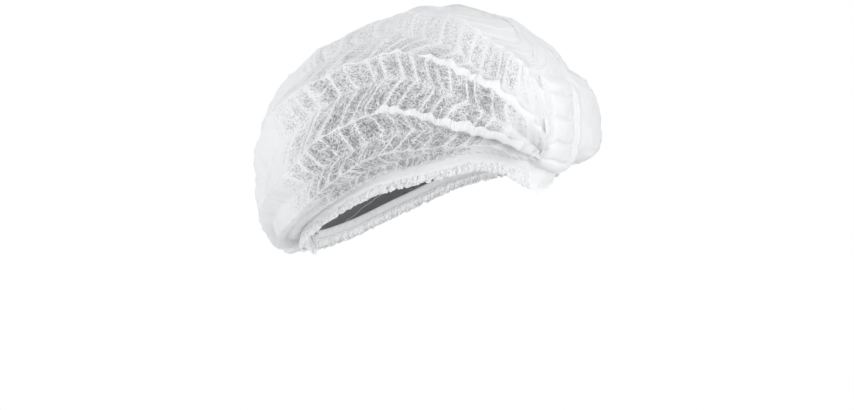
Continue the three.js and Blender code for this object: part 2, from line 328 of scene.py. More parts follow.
def clothMaterial(name, inside):
    c = clothFinish
    material = bpy.data.materials.new(name)
    material.use_nodes = True
    tree = material.node_tree
    tree.nodes.clear()

    def mark(key):  # a value that the mesh carries at its points
        return put(tree, "ShaderNodeAttribute", attribute_name=key).outputs["Fac"]

    def blend(share, first, second):
        shaders = {"Fac": share, 1: first.outputs[0], 2: second.outputs[0]}
        return put(tree, "ShaderNodeMixShader", shaders)

    uv = put(tree, "ShaderNodeUVMap", uv_map="clothUV")
    web = put(tree, "ShaderNodeGroup", {"Vector": uv.outputs["UV"]}, node_tree=fibreWeb)
    layers = mark("layers")
    cover = math2(tree, "MULTIPLY_ADD", web.outputs["Web"], c["web"], c["ground"] + c["more"][name])
    patch = math2(tree, "SUBTRACT", web.outputs["Patch"], 0.5)
    cover = math2(tree, "MAXIMUM", math2(tree, "MULTIPLY_ADD", patch, c["patch"], cover), c["least"])
    cover = math2(tree, "MULTIPLY_ADD", mark("crease"), c["crease"], cover)
    cover = math2(tree, "MULTIPLY_ADD", layers, c["layers"], cover, clamp=True)
    tilt = put(tree, "ShaderNodeLayerWeight", {"Blend": 0.5}).outputs["Facing"]
    square = math2(tree, "SUBTRACT", 1.0, tilt)  # 1 where the cloth is seen square on, 0 where it turns away
    gaps = math2(tree, "SUBTRACT", 1.0, cover)
    slant = math2(tree, "POWER", math2(tree, "MAXIMUM", square, c["slantest"]), -c["closes"])
    cover = math2(tree, "SUBTRACT", 1.0, math2(tree, "POWER", gaps, slant))
    # painted shade: inside faces in the hollow take the dark inside colour and are closed, so the far wall
    # shows dark through the gaps
    turned = put(tree, "ShaderNodeNewGeometry").outputs["Backfacing"]
    shaded = math2(tree, "MULTIPLY", turned, mark("hollow"))
    cover = math2(tree, "MAXIMUM", cover, math2(tree, "MULTIPLY", shaded, c["hollowCover"]))
    seen = put(tree, "ShaderNodeLightPath").outputs["Is Camera Ray"]
    shut = math2(tree, "MULTIPLY_ADD", seen, -c["lightCover"], c["lightCover"])  # for light, not for sight
    cover = math2(tree, "MAXIMUM", cover, shut)
    single, layered = c["bumpStrength"]
    strength = math2(tree, "MULTIPLY_ADD", layers, layered - single, single, clamp=True)
    relief = {"Distance": c["bump"], "Strength": strength, "Height": web.outputs["Web"]}
    bump = put(tree, "ShaderNodeBump", relief)
    colour = put(tree, "ShaderNodeMix", {0: shaded, 6: c["outside"], 7: inside}, data_type="RGBA").outputs[2]
    fibre = put(tree, "ShaderNodeBsdfPrincipled", {
        "Base Color": colour, "Roughness": c["roughness"], "Sheen Weight": c["sheen"],
        "Specular IOR Level": c["specular"], "Normal": bump.outputs["Normal"],
    })
    through = put(tree, "ShaderNodeBsdfTranslucent", {"Color": colour})
    body = blend(c["shinesThrough"], fibre, through)
    gauze = blend(cover, put(tree, "ShaderNodeBsdfTransparent"), body)
    put(tree, "ShaderNodeOutputMaterial", {"Surface": gauze.outputs[0]})
    return material


# the crown's inside faces take the painted shade; the folded cloth and the fibres stay white inside
crownFinish = clothMaterial("thinCloth", clothFinish["inside"])
foldFinish = clothMaterial("foldedCloth", clothFinish["outside"])
fibreFinish = clothMaterial("whiteFibre", clothFinish["outside"])
print("finishes made")

# Folded ends: the pleats lie on each other in a thick white band that is creased across. right and left are
# how far a band reaches to each side of the middle, as a share of the radius. The tail hangs below the rim:
# its pairs are the place from side to side, and the length in millimetres.

foldedEnds = {
    "front": {
        "node": "front_folded_end", "facing": 1, "right": 0.31, "left": 0.1, "top": 0.46,
        "rise": 4.4 * mm, "dents": 6, "dentDepth": 1.6 * mm, "seed": 21,
        "tail": ((-1, 15), (-0.8, 20.5), (-0.5, 17.5), (0, 13), (0.5, 10.5), (1, 8.5)),
    },
    "back": {
        "node": "back_folded_end", "facing": -1, "right": 0.1, "left": 0.1, "top": 0.46,
        "rise": 3.8 * mm, "dents": 6, "dentDepth": 1.4 * mm, "seed": 22,
        "tail": ((-1, 12), (-0.6, 14), (0.6, 14), (1, 12)),
    },
}

# Crown: one sheet in accordion pleats with gathers across them. Towards the ends of the strip the pleats
# stay shut, and a flap of doubled cloth stands up along each outer fold. Folds are counted from the right
# rim, along is a share of the way from front to back, and step is a share of the sheet's rows. A pair
# without a note is where something begins and where it is full, or where it starts to fade and has gone.

crownCloth = {
    "panels": 18,
    "ribs": 28,  # gathers across the panels
    "rowPhases": (0, 0.06, 0.16, 0.32, 0.5, 0.68, 0.84, 0.94),  # rows of points between two gathers
    "settle": 2.2 * mm,  # how far the sheet lies below the form
    # how far the cloth stands out from the form behind and before: share of the way to the top, millimetres
    "backFit": (
        (0, 0), (0.1, 0), (0.25, 3.5), (0.42, 6.5), (0.55, 3), (0.68, -2.5), (0.8, -5), (0.9, -3), (1, 0),
    ),
    "backFrom": (95, 140),  # degrees from the front
    "frontFit": ((0, 0), (0.45, -1), (0.6, -2), (0.75, -1.5), (0.9, 0.5), (1, 0)),
    "frontFrom": (0.25, 0.55),  # share of the radius
    "panelWidth": 22.2 * mm,
    "pleatRise": (0.9 * mm, 3.4 * mm),  # least and most
    "steepest": 0.55,
    "calmRise": 0.1,  # what is left of the pleats where they are let out
    "lean": 0.0135,  # how far the gathers lean, as a share of the way from front to back
    "straighten": 0.13,  # where the gathers would begin if they stood upright from the front on
    "slantEnds": 0.3,  # the gathers follow the slant of the front end up to here
    "slantLeft": (8, 11),  # folds where they follow it all the way
    "wander": 0.24,  # how far a fold strays from its line, as a share of a panel
    "wanderTurns": (0.6, 1.6),  # waves along a fold, least and most
    "wanderFrom": (0.02, 0.2), "wanderStops": (0.06, 0.36),
    # folds that hang lower: fold and panels
    "sag": ((0, 0), (2, -0.5), (4, -1.2), (6, -0.85), (8, -0.9), (10, -0.5), (13, 0), (18, 0)),
    "frontSag": ((0, 0), (2, -0.3), (4, -0.75), (6, -1.2), (8, -1.0), (10, -0.5), (13, 0), (18, 0)),
    "frontSagEnds": (0.16, 0.42),
    "shiver": 0.36,  # how far a gather strays, as a share of its spacing
    "steadyRibs": 2,  # gathers that stray less at each end
    "level": 0.3,  # a random value stays level this far to each side of a panel's middle
    "endMargin": 0.03,  # share of the rows at each end where lean and soft folds grow
    "nearEnd": 0.1,  # share of the rows at the front where the flaps grow
    # where flaps and pleats are let out: over the top, and on the left front, where the cloth puffs
    "calmFolds": (7.6, 9.2), "calmTop": (10.6, 12.2), "calmTopEnds": (0.45, 0.6),
    "calmFrontEnds": (0.26, 0.38),
    "pinch": (0.2 * mm, 0.9 * mm),  # rise of the cloth at a gather, least and most
    "pinchWidth": 0.08,
    "pinchFew": 1.4,  # makes strong gathers fewer
    "under": 0.05,  # how far the cloth goes under a folded end, as a share of the radius
    "layerGap": 0.3 * mm,
    # soft upright ridge where the pleats close towards the back
    "backRidge": 0.9 * mm, "ridgePlace": 0.715, "ridgeSwing": 0.01, "ridgeWidth": 0.018,
    "ridgeFrom": (1.5, 3), "ridgeTo": (6, 8),
    # how far the cloth rises where it meets the front end
    "meets": 2.0 * mm, "meetsFrom": (0.01, 0.05), "meetsEnds": (0.08, 0.2), "meetsTo": (8, 10),
    "endFolds": 1.1 * mm,  # soft upright folds beside the front end
    "endFoldsStop": (0.19, 0.28), "endFoldsStray": 0.15,
    "rimFade": 0.9,  # panels from the rim where the relief is full
    # gathers along the rim
    "rimGather": 1.6 * mm, "rimWave": 8.5 * mm, "rimLength": 0.39, "rimStray": 1.5, "rimReach": 0.35,
    "rimEdge": 0.12,
    "softFolds": {"rise": 1.2 * mm, "waves": 14, "length": (24 * mm, 42 * mm), "seed": 3},
    "fineFolds": {"rise": 0.35 * mm, "waves": 18, "length": (8 * mm, 13 * mm), "seed": 4},
    "seed": 11,
}


def halfColumns():  # columns of points from a rim to the top: fold position, share of the flap, layer
    columns = [(q, 0, 0) for q in (0, 0.03, 0.08, 0.15, 0.25, 0.37, 0.5, 0.63, 0.76, 0.88)]
    for ridge in (2, 4, 6, 8):
        columns += [(ridge + q, 0, 0) for q in (-1, -0.85, -0.7, -0.55, -0.4, -0.27, -0.16, -0.07, -0.02)]
        columns += [(ridge, s, 1) for s in (0.15, 0.4, 0.7, 0.93)]
        columns += [(ridge, 1, 0.5)]
        columns += [(ridge, s, 0) for s in (0.93, 0.7, 0.4, 0.12)]
        columns += [(ridge + q, 0, 0) for q in (0.03, 0.12, 0.25, 0.42, 0.6, 0.8)]
    return columns


def endReach(end, across, within):  # where a fold line leaves a folded end, or a point so far within it
    sideways, up = np.abs(np.cos(math.pi * across)), np.sin(math.pi * across)
    spread = np.where(across < 0.5, end["right"], end["left"]) - within
    side = spread / np.maximum(sideways, spread)
    over = math.sin(math.pi / 2 * (end["top"] - within)) / np.maximum(up, 0.1)
    return np.arcsin(np.minimum(np.minimum(side, over), 1)) / math.pi


def crownGrid():  # rows of points run across from rim to rim, columns from front to back
    c = crownCloth
    half = halfColumns()
    columns = [(q, s, k, 1) for q, s, k in half] + [(c["panels"] // 2, 0, 0, 1)]
    columns += [(c["panels"] - q, s, k, -1) for q, s, k in reversed(half)]
    rows = [(k, p) for k in range(c["ribs"]) for p in c["rowPhases"]] + [(c["ribs"], 0)]
    g = SimpleNamespace(rng=np.random.default_rng(c["seed"]))
    g.fold, g.share, g.layer, g.up = (np.array(v, float)[None, :] for v in zip(*columns))
    g.rib, g.phase = (np.array(v, float)[:, None] for v in zip(*rows))
    g.nearest = np.round(g.fold[0]).astype(int)
    g.fromRim = np.minimum(g.fold, c["panels"] - g.fold)
    g.fromOuter = np.abs(g.fold - 2 * np.round(g.fold / 2))  # panels from an outer fold
    g.fromRib = np.minimum(g.phase, 1 - g.phase)
    g.rimFade = smooth(g.fromRim, 0, c["rimFade"])
    return g


def perPanel(g, low, high, level=0.0):  # a random value for each panel and gather, spread over the columns
    values = g.rng.uniform(low, high, (crownCloth["ribs"] + 2, crownCloth["panels"]))
    centres = np.arange(crownCloth["panels"]) + 0.5
    knots = np.sort(np.concatenate([centres - level, centres + level]))
    spread = np.stack([np.interp(g.fold[0], knots, np.repeat(row, 2)) for row in values])
    rib = g.rib[:, 0].astype(int)
    return mix(spread[rib], spread[rib + 1], g.phase)


def layFolds(g):  # where each point lies, along the cap and across it
    c = crownCloth
    ribPlace = g.rib + g.phase
    shiver = perPanel(g, -c["shiver"], c["shiver"], c["level"])
    shiver = shiver * smooth(ribPlace, 0, c["steadyRibs"]) * smooth(c["ribs"] - ribPlace, 0, c["steadyRibs"])
    g.step = (ribPlace + shiver) / c["ribs"]
    lines = np.arange(c["panels"] + 1)
    turns = g.rng.uniform(*c["wanderTurns"], len(lines))
    starts = g.rng.uniform(0, 1, len(lines))
    stray = c["wander"] * (np.minimum(lines, lines[::-1]) > 1)  # the folds next to the rim stay
    wander = np.sin(2 * math.pi * (g.step[:, :1] * turns + starts)) * stray
    wander = np.stack([np.interp(g.fold[0], lines, row) for row in wander])
    wander = wander * smooth(g.step, *c["wanderFrom"])
    sag = tableAt(c["sag"], g.fold)
    frontSag = tableAt(c["frontSag"], g.fold)
    wander = wander + sag + frontSag * fade(g.step, *c["frontSagEnds"])
    g.across = (g.fold + wander * smooth(1 - g.step, *c["wanderStops"])) / c["panels"]
    start = endReach(foldedEnds["front"], (g.fold + sag + frontSag) / c["panels"], c["under"])
    stop = 1 - endReach(foldedEnds["back"], g.fold / c["panels"], c["under"])
    g.inField = smooth(g.step, 0, c["endMargin"]) * smooth(1 - g.step, 0, c["endMargin"])
    ahead = np.clip(g.step, 0, 1)
    slanting = mix(fade(ahead, 0, c["slantEnds"]), 1 - ahead, smooth(g.fold, *c["slantLeft"]))
    along = mix(c["straighten"], stop, ahead) + (start - c["straighten"]) * slanting
    g.along = along + tent(g.fold / 2) * c["lean"] * g.inField
    g.gap = math.pi * np.sin(math.pi * g.along) * form["foldRadius"] / c["panels"]  # width of an open panel
    overTop = fade(g.fold, *c["calmTop"]) * fade(g.along, *c["calmTopEnds"])
    g.calm = 1 - smooth(g.fold, *c["calmFolds"]) * np.maximum(overTop, fade(g.along, *c["calmFrontEnds"]))
    g.nearEnd = smooth(g.step, 0, c["nearEnd"])


crownFlaps = {
    # place along the cap, and width in millimetres
    "width": (
        (0, 2), (0.06, 2.5), (0.14, 3), (0.2, 5.5), (0.26, 8), (0.32, 8), (0.38, 6.5), (0.46, 3.5),
        (0.54, 1.4), (0.7, 0.9), (1, 1.2),
    ),
    "spread": (0.75, 1.25),  # from fold to fold
    "frontKept": (0.4, 1.5), "backKept": (-0.6, 1.9), "mostKept": 1.6,  # from gather to gather
    "backFrom": (0.3, 0.42),
    "lowest": 0.4, "lowestEnds": (2.2, 4.2), "topmost": 0.35, "topmostFrom": (6.6, 8),
    "zigzag": 0.35, "zigzagStray": 0.3, "zigzagSpread": (-0.5, 1),
    "widest": 0.95,  # share of an open panel
    "crumple": 0.3 * mm,  # small dents along the flaps
    "crumpleFrom": (2 * mm, 5 * mm),
    "facet": 1.1 * mm,  # how far a flap bends in and out along its zigzag
    "facetPlace": 0.25, "facetFrom": (2 * mm, 6 * mm),
    "lift": (0.6, 0.16),  # how steeply a narrow and a wide flap stand off
    "liftFrom": (2 * mm, 7 * mm),
    "swing": (1.4 * mm, 0.4 * mm),  # how far the outer folds go to and fro, at the front and at the back
    "swingBack": (0.35, 0.55), "swingReach": 0.3, "swingFrom": (0.5, 1.5),
    "leastGap": 4 * mm,
}


def raiseFlaps(g):
    f = crownFlaps
    panels = crownCloth["panels"]
    width = tableAt(f["width"], g.along, mm) * g.rng.uniform(*f["spread"], panels + 1)[g.nearest][None, :]
    frontKept = perPanel(g, *f["frontKept"])
    backKept = np.clip(perPanel(g, *f["backKept"]), 0, f["mostKept"])
    flap = width * mix(frontKept, backKept, smooth(g.along, *f["backFrom"]))
    flap = flap * mix(f["lowest"], 1, smooth(g.fromRim, *f["lowestEnds"]))
    flap = flap * mix(1, f["topmost"], smooth(g.fromRim, *f["topmostFrom"]))
    zigzag = np.cos(2 * math.pi * (g.phase + f["zigzagStray"] * perPanel(g, -1, 1)))
    zigzag = zigzag * perPanel(g, *f["zigzagSpread"])
    dents = g.rng.normal(size=(len(g.phase), panels + 1))[:, g.nearest]
    g.crumple = f["crumple"] * dents * smooth(flap, *f["crumpleFrom"])
    flap = np.minimum(flap * (1 + f["zigzag"] * zigzag), f["widest"] * g.gap) * g.calm * g.nearEnd
    g.facet = f["facet"] * tent(2 * g.phase + f["facetPlace"]) * smooth(flap, *f["facetFrom"])
    g.lift = mix(*f["lift"], smooth(flap, *f["liftFrom"]))
    swing = mix(*f["swing"], smooth(g.along, *f["swingBack"])) * g.calm * g.nearEnd * tent(g.phase)
    swing = swing * np.exp(-g.fromOuter / f["swingReach"]) * smooth(g.fromRim, *f["swingFrom"])
    upward = g.up * (g.share * flap * np.sqrt(1 - g.lift ** 2) + swing)
    g.placed = np.clip(g.across + upward / np.maximum(g.gap, f["leastGap"]) / panels, 0, 1)
    g.flap = flap


def raiseCloth(g):  # points of the sheet, raised from the form by pleats, gathers, flaps and soft folds
    c = crownCloth
    least, most = c["pleatRise"]
    shut = np.sqrt(np.maximum(c["panelWidth"] ** 2 - g.gap ** 2, 0)) / 2
    rise = np.clip(np.minimum(shut, c["steepest"] * g.gap), np.minimum(least, g.gap), most)
    rise = rise * mix(g.calm, 1, c["calmRise"])
    g.strength = perPanel(g, 0, 1, c["level"]) ** c["pinchFew"]
    pinch = mix(*c["pinch"], g.strength) * np.exp(-g.fromRib / c["pinchWidth"])
    fromRidge = g.along - c["ridgePlace"] + c["ridgeSwing"] * np.sin(2 * g.fold)
    g.backRidge = np.exp(-(fromRidge / c["ridgeWidth"]) ** 2)
    g.backRidge = g.backRidge * smooth(g.fold, *c["ridgeFrom"]) * fade(g.fold, *c["ridgeTo"])
    pinch = pinch + c["backRidge"] * g.backRidge
    besideEnd = fade(g.along, *c["endFoldsStop"]) * g.nearEnd * g.calm
    endFolds = c["endFolds"] * np.cos(2 * math.pi * (g.phase + c["endFoldsStray"] * perPanel(g, -1, 1)))
    height = g.rimFade * (tent(g.fold / 2) * rise + mix(pinch, endFolds, besideEnd))
    doubled = (g.layer - 0.5) * c["layerGap"] * smooth(g.flap, 0, 2 * mm) * (g.share > 0)
    height = height + g.share * (g.flap * g.lift + g.facet + g.crumple) + doubled

    base = foldPoint(g.along, g.placed)
    normal = normalOf(foldPoint, g.along, np.clip(g.placed, 2 * slopeStep, 1 - 2 * slopeStep))
    cloth = base + 0.5 * (g.share * g.flap)[..., None] * normal
    soft, fine = (ripples(cloth, c[key]["waves"], c[key]["length"], c[key]["seed"])
                  for key in ("softFolds", "fineFolds"))
    relief = c["softFolds"]["rise"] * soft + c["fineFolds"]["rise"] * fine
    height = height + g.rimFade * g.inField * relief
    gather = np.sin(g.along * c["rimLength"] / c["rimWave"] * 2 * math.pi + c["rimStray"] * soft)
    gather = gather * np.exp(-g.fromRim / c["rimReach"]) * smooth(g.fromRim, 0, c["rimEdge"])
    height = height + c["rimGather"] * gather * g.inField

    g.sideways = np.sin(math.pi * g.along) * np.cos(math.pi * g.placed)
    g.forward = np.cos(math.pi * g.along)
    upward = np.sin(math.pi * g.along) * np.sin(math.pi * g.placed)
    upShare = np.arcsin(np.clip(upward, 0, 1)) / (math.pi / 2)
    behind = smooth(np.abs(np.degrees(np.arctan2(-g.sideways, g.forward))), *c["backFrom"])
    before = smooth(g.forward, *c["frontFrom"])
    height = height + tableAt(c["backFit"], upShare, mm) * behind
    height = height + tableAt(c["frontFit"], upShare, mm) * before
    meets = smooth(g.step, *c["meetsFrom"]) * fade(g.step, *c["meetsEnds"]) * fade(g.fold, *c["meetsTo"])
    height = height + c["meets"] * meets * g.rimFade
    return base + (height - c["settle"] * g.rimFade * g.calm)[..., None] * normal


crownWhite = {  # what closes the web: creases, cloth in layers, and a haze of fibres; and where the inside is painted dark as shade
    "foldCrease": (0.45, 0.25),  # on the sheet and on the edge of a flap
    "foldWidth": 0.03, "innerFold": 0.3, "foldSpread": (0.3, 1),
    "rib": 0.75, "ribWidth": 0.05, "ribGlow": 0.3, "ribGlowWidth": 0.15,
    "weakRib": (0.3, 0.6), "weakRibFolds": (5, 6.5),
    "between": 0.75, "betweenSpread": (-0.9, 0.9), "betweenWidth": 0.06,  # a fainter gather between two
    "packed": 0.8, "packedFront": (0.15, 0.3), "packedBack": (0.86, 0.97),
    "packedLeft": 0.35, "packedLeftFolds": (9, 12), "packedLow": (1.6, 3.4), "packedLowEnds": (0.18, 0.36),
    "flapLayers": (0.45, 0.2),  # at the foot and at the edge of a flap
    "hazeSpread": (0, 0.2), "less": 0.12,
    "cellEdge": 0.16, "cellEdgeWidth": 0.07,
    "rim": 0.6, "rimWidth": 0.45,
    "upperFront": 0.2, "upperFolds": (6, 7.5), "upperEnds": (0.4, 0.6),
    "back": 0.85, "backFrom": (0.57, 0.8), "ridge": 0.2,
    "high": 0.1, "highFolds": (4, 5.5), "top": 0.25, "topFolds": (7, 9.5), "letOut": 0.4,
    "slit": 0.55, "slitPlace": 0.05, "slitWidth": 0.022, "slitFrom": (3.2, 4.5), "slitTo": (6.5, 8),
    "hollowFrom": (0.35, 0.65), "hollowEnds": (0.04, 0.14),
}


def crownMarks(g):
    w = crownWhite
    fold, along, share = g.fold, g.along, g.share
    ridge = np.exp(-g.fromOuter / w["foldWidth"])
    ridge = ridge + w["innerFold"] * np.exp(-(1 - g.fromOuter) / w["foldWidth"])
    rib = w["rib"] * np.exp(-g.fromRib / w["ribWidth"])
    rib = rib + w["ribGlow"] * np.exp(-g.fromRib / w["ribGlowWidth"])
    between = np.clip(perPanel(g, *w["betweenSpread"], crownCloth["level"]), 0, 1)
    between = w["between"] * between * np.exp(-np.abs(g.phase - 0.5) / w["betweenWidth"])
    weakest = mix(*w["weakRib"], smooth(fold, *w["weakRibFolds"]))
    creased = mix(*w["foldCrease"], share) * ridge * (g.fromRim > 0.5) * perPanel(g, *w["foldSpread"])
    crease = np.clip(mix(weakest, 1.0, g.strength) * rib + between + creased, 0, 1)
    packed = fade(along, *w["packedFront"]) * mix(1, w["packedLeft"], smooth(fold, *w["packedLeftFolds"]))
    packed = packed + smooth(along, *w["packedBack"])
    packed = packed + fade(fold, *w["packedLow"]) * fade(along, *w["packedLowEnds"])
    inCell = g.fromRib * np.clip(2 * np.abs(fold - np.round(fold)), 0, 1)
    haze = perPanel(g, *w["hazeSpread"]) + w["cellEdge"] * np.exp(-inCell / w["cellEdgeWidth"])
    haze = haze + w["rim"] * np.exp(-((g.fromRim / w["rimWidth"]) ** 4))
    haze = haze + w["upperFront"] * smooth(fold, *w["upperFolds"]) * fade(along, *w["upperEnds"])
    haze = haze + w["back"] * smooth(along, *w["backFrom"]) + w["ridge"] * g.backRidge
    haze = haze + w["high"] * smooth(fold, *w["highFolds"]) + w["top"] * smooth(fold, *w["topFolds"])
    haze = haze + w["letOut"] * (1 - g.calm)
    slit = np.exp(-(((g.step - w["slitPlace"]) / w["slitWidth"]) ** 2))  # single cloth beside the front end
    slit = slit * smooth(fold, *w["slitFrom"]) * fade(fold, *w["slitTo"])
    layers = w["packed"] * packed + mix(*w["flapLayers"], share) * (share > 0) + haze
    layers = np.clip(layers - w["less"] - w["slit"] * slit, 0, 1)
    # painted shade: where the inside faces get the dark inside colour, away from the top of the crown, not
    # on flaps
    hollow = smooth(np.hypot(g.sideways, g.forward), *w["hollowFrom"]) * (share == 0)
    hollow = hollow * smooth(np.minimum(g.step, 1 - g.step), *w["hollowEnds"])  # not beside the folded ends
    return {"crease": crease * g.rimFade, "layers": layers, "hollow": hollow}


def crownSheet():
    g = crownGrid()
    layFolds(g)
    raiseFlaps(g)
    points = raiseCloth(g)
    return gridPiece("crown_cloth", points, clothCoordinates(points), crownMarks(g), crownFinish)


crownPiece = crownSheet()
print("crown:", len(crownPiece.data.polygons), "faces")

# Sheet of a folded end. Its rows run up from the foot of the tail, its columns from side to side

endSheet = {
    "rows": 170, "columns": 64, "tailShare": 0.13,
    "tailOut": 0.06,  # how far the tail stands out at the rim, as a share of the radius
    "outFoot": 0.9, "outTop": 0.14, "outSides": (0.4, 0.95),
    "face": 0.8,  # share of the width where the swollen face ends and the edges of the other folds begin
    "faceTurn": 0.04, "roundness": 0.4, "pillow": 0.25,
    "dentWidth": 0.09, "dentBow": 0.12, "dentStray": 0.05, "dentFrom": (0.2, 0.3), "flankDent": 0.35,
    "flank": (0.04, 0.14),  # share of the width beside the face, at the foot and at the top
    "flankWidens": (0.35, 0.95), "flankFolds": 2.5, "flankRise": 0.9 * mm, "flankEnds": (0.8, 1),
    "groove": 2.0 * mm, "groovePlace": 0.015, "grooveWidth": 0.03, "grooveFrom": (0.25, 0.5),
    "frill": 0.6 * mm, "frillWaves": 4.5,
    "edges": 3, "edgeRise": 0.9 * mm, "edgeFoot": 0.5,
    "swell": 0.35 * mm, "swellWaves": 12, "swellLength": (11 * mm, 19 * mm),
    "rolled": 0.05, "tuck": 2.4 * mm, "taper": 0.14, "dive": 1.2 * mm, "diveFrom": 0.88, "lift": 0.4 * mm,
    "dentCrease": 0.3, "flankLayers": 0.7, "topLayers": 0.6, "topFrom": (0.78, 1),
}


def endTop(end, sideways):  # share of the way to the top of the crown that a folded end reaches
    across = np.arange(crownCloth["panels"] + 1) / crownCloth["panels"]
    along = endReach(end, across, 0)
    x = -np.sin(math.pi * along) * np.cos(math.pi * across)
    z = np.sin(math.pi * along) * np.sin(math.pi * across)
    over = z > 0.5 * z.max()
    return np.arcsin(np.interp(sideways, x[over], z[over])) / (math.pi / 2)


def endPoint(end, share, sideways):  # point of the form below a folded end, and on its tail below share 0
    e = endSheet
    share, sideways = np.broadcast_arrays(share, sideways)
    middle = (end["left"] - end["right"]) / 2
    beside = (sideways - middle) / (end["left"] + end["right"]) * 2  # -1 and 1 at the two sides
    tail = np.maximum(-share, 0)
    upward = np.sin(math.pi / 2 * np.maximum(share, 0))
    forward = np.sqrt(np.maximum(1 - sideways ** 2 - upward ** 2, 0))
    point = crownPoint(np.stack([sideways, -end["facing"] * forward, upward], -1))
    point[..., 2] -= tail * tableAt(end["tail"], beside, mm)
    out = fade(tail, 0, e["outFoot"]) * fade(share, 0, e["outTop"]) * fade(np.abs(beside), *e["outSides"])
    point[..., :2] *= 1 + e["tailOut"] * out[..., None]
    return point


def foldedEndSheet(name, end):
    e = endSheet
    facing = end["facing"]
    step = np.linspace(0, 1, e["rows"] + 1)[:, None]
    fromRight = np.linspace(0, 1, e["columns"] + 1)[None, ::facing]
    sideways = mix(-end["right"], end["left"], fromRight) * np.ones_like(step)
    up = (step - e["tailShare"]) / (1 - e["tailShare"])
    share = np.where(up < 0, step / e["tailShare"] - 1, endTop(end, sideways) * up)

    def place(shareAt, sidewaysAt):
        return endPoint(end, shareAt, sidewaysAt)

    normal = facing * normalOf(place, np.maximum(share, 2 * slopeStep), sideways)
    point = place(share, sideways)
    swell = ripples(point, e["swellWaves"], e["swellLength"], end["seed"])
    flank = mix(*e["flank"], smooth(step, *e["flankWidens"]))
    face = np.clip((fromRight - flank) / (e["face"] - flank), 0, 1)
    full = np.maximum(np.sin(math.pi * face), 0) ** e["roundness"]
    phase = end["dents"] * step + e["dentBow"] * np.sin(math.pi * face) + e["dentStray"] * swell
    away = np.abs(phase - np.round(phase))
    dent = np.exp(-away / e["dentWidth"]) * mix(e["flankDent"], 1, full) * smooth(step, *e["dentFrom"])
    beside = smooth(fromRight, e["face"] - e["faceTurn"], e["face"] + e["faceTurn"])
    edges = tent(e["edges"] * (fromRight - e["face"]) / (1 - e["face"]) + 0.5)
    edge = beside * (e["edgeFoot"] * end["rise"] + e["edgeRise"] * edges)
    rolled = smooth(fromRight, 0, e["rolled"]) * smooth(1 - fromRight, 0, e["rolled"])
    flat = fromRight < flank
    folds = tent(e["flankFolds"] * fromRight / flank + 0.5) * fade(step, *e["flankEnds"])
    folds = e["flankRise"] * flat * folds
    groove = np.exp(-((fromRight - flank + e["groovePlace"]) / e["grooveWidth"]) ** 2)
    groove = e["groove"] * groove * smooth(step, *e["grooveFrom"])
    frill = np.cos(2 * math.pi * e["frillWaves"] * fromRight + 2 * swell) * smooth(-share, 0, 1)
    pillow = 1 - e["pillow"] + e["pillow"] * np.clip(4 * away * (1 - away), 0, 1)
    height = end["rise"] * full * pillow * (1 - beside) - end["dentDepth"] * dent * (face > 0) + edge
    height = smooth(1 - step, 0, e["taper"]) * (height + folds - groove + e["swell"] * swell)
    height = height + e["frill"] * frill
    height = rolled * height - e["tuck"] * (1 - rolled) - e["dive"] * smooth(step, e["diveFrom"], 1)
    if facing < 0:  # the crown is fuller at the back
        height = height + tableAt(crownCloth["backFit"], np.maximum(share, 0), mm)
    points = point + (height + e["lift"])[..., None] * normal
    layers = np.where(flat, e["flankLayers"], 1.0) * mix(1, e["topLayers"], smooth(step, *e["topFrom"]))
    marks = {"crease": e["dentCrease"] * dent, "layers": layers}
    return gridPiece(name, points, clothCoordinates(points), marks, crownFinish)


endPieces = {}
for key, end in foldedEnds.items():
    endPieces[key] = foldedEndSheet(end["node"].replace("_end", "_cloth"), end)
print("folded ends made")

# Rim of one side as a line of points, for the strips that follow it

rimLine = {
    "under": 0.6,  # degrees that the strips go under a folded end
    "points": 220,
    "sink": {"right": 6 * mm, "left": -6 * mm},  # how much lower the strips hang beside the front end
    "sinkSpan": 22,  # degrees
}


def rimPath(name, side):
    reach = "right" if side < 0 else "left"
    first, last = (math.degrees(math.asin(end[reach])) - rimLine["under"] for end in foldedEnds.values())
    azimuth = side * np.linspace(first, 180 - last, rimLine["points"])
    radius, height = crownProfile(azimuth, np.zeros_like(azimuth))
    points = aroundCap(azimuth, radius, height)
    outward = aroundCap(azimuth, np.ones_like(azimuth), np.zeros_like(azimuth))
    sink = rimLine["sink"][reach] * fade(np.abs(azimuth) - first, 0, rimLine["sinkSpan"]) ** 2
    points, outward, sink = (values[::side] for values in (points, outward, sink))  # so that faces point out
    mesh = bpy.data.meshes.new(name)
    mesh.from_pydata(points.tolist(), [(i, i + 1) for i in range(len(points) - 1)], [])
    mesh.attributes.new("outward", "FLOAT_VECTOR", "POINT").data.foreach_set("vector", asFloats(outward))
    mesh.attributes.new("sink", "FLOAT", "POINT").data.foreach_set("value", asFloats(sink))
    path = bpy.data.objects.new(name, mesh)
    scene.collection.objects.link(path)
    return path


def openTree(name, floats, integers):  # a Geometry Nodes tree, and the sockets that give its named inputs
    tree = bpy.data.node_groups.new(name, "GeometryNodeTree")
    kinds = {"Geometry": "NodeSocketGeometry"}
    kinds.update(dict.fromkeys(floats, "NodeSocketFloat"))
    kinds.update(dict.fromkeys(integers, "NodeSocketInt"))
    kinds["Finish"] = "NodeSocketMaterial"
    for socket, kind in kinds.items():
        tree.interface.new_socket(socket, in_out="INPUT", socket_type=kind)
    tree.interface.new_socket("Geometry", in_out="OUTPUT", socket_type="NodeSocketGeometry")
    return tree, put(tree, "NodeGroupInput").outputs


def closeTree(tree, geometry, finish):
    real = put(tree, "GeometryNodeRealizeInstances", {0: geometry})
    dressed = put(tree, "GeometryNodeSetMaterial", {"Geometry": real.outputs[0], "Material": finish})
    put(tree, "NodeGroupOutput", {0: dressed.outputs[0]})


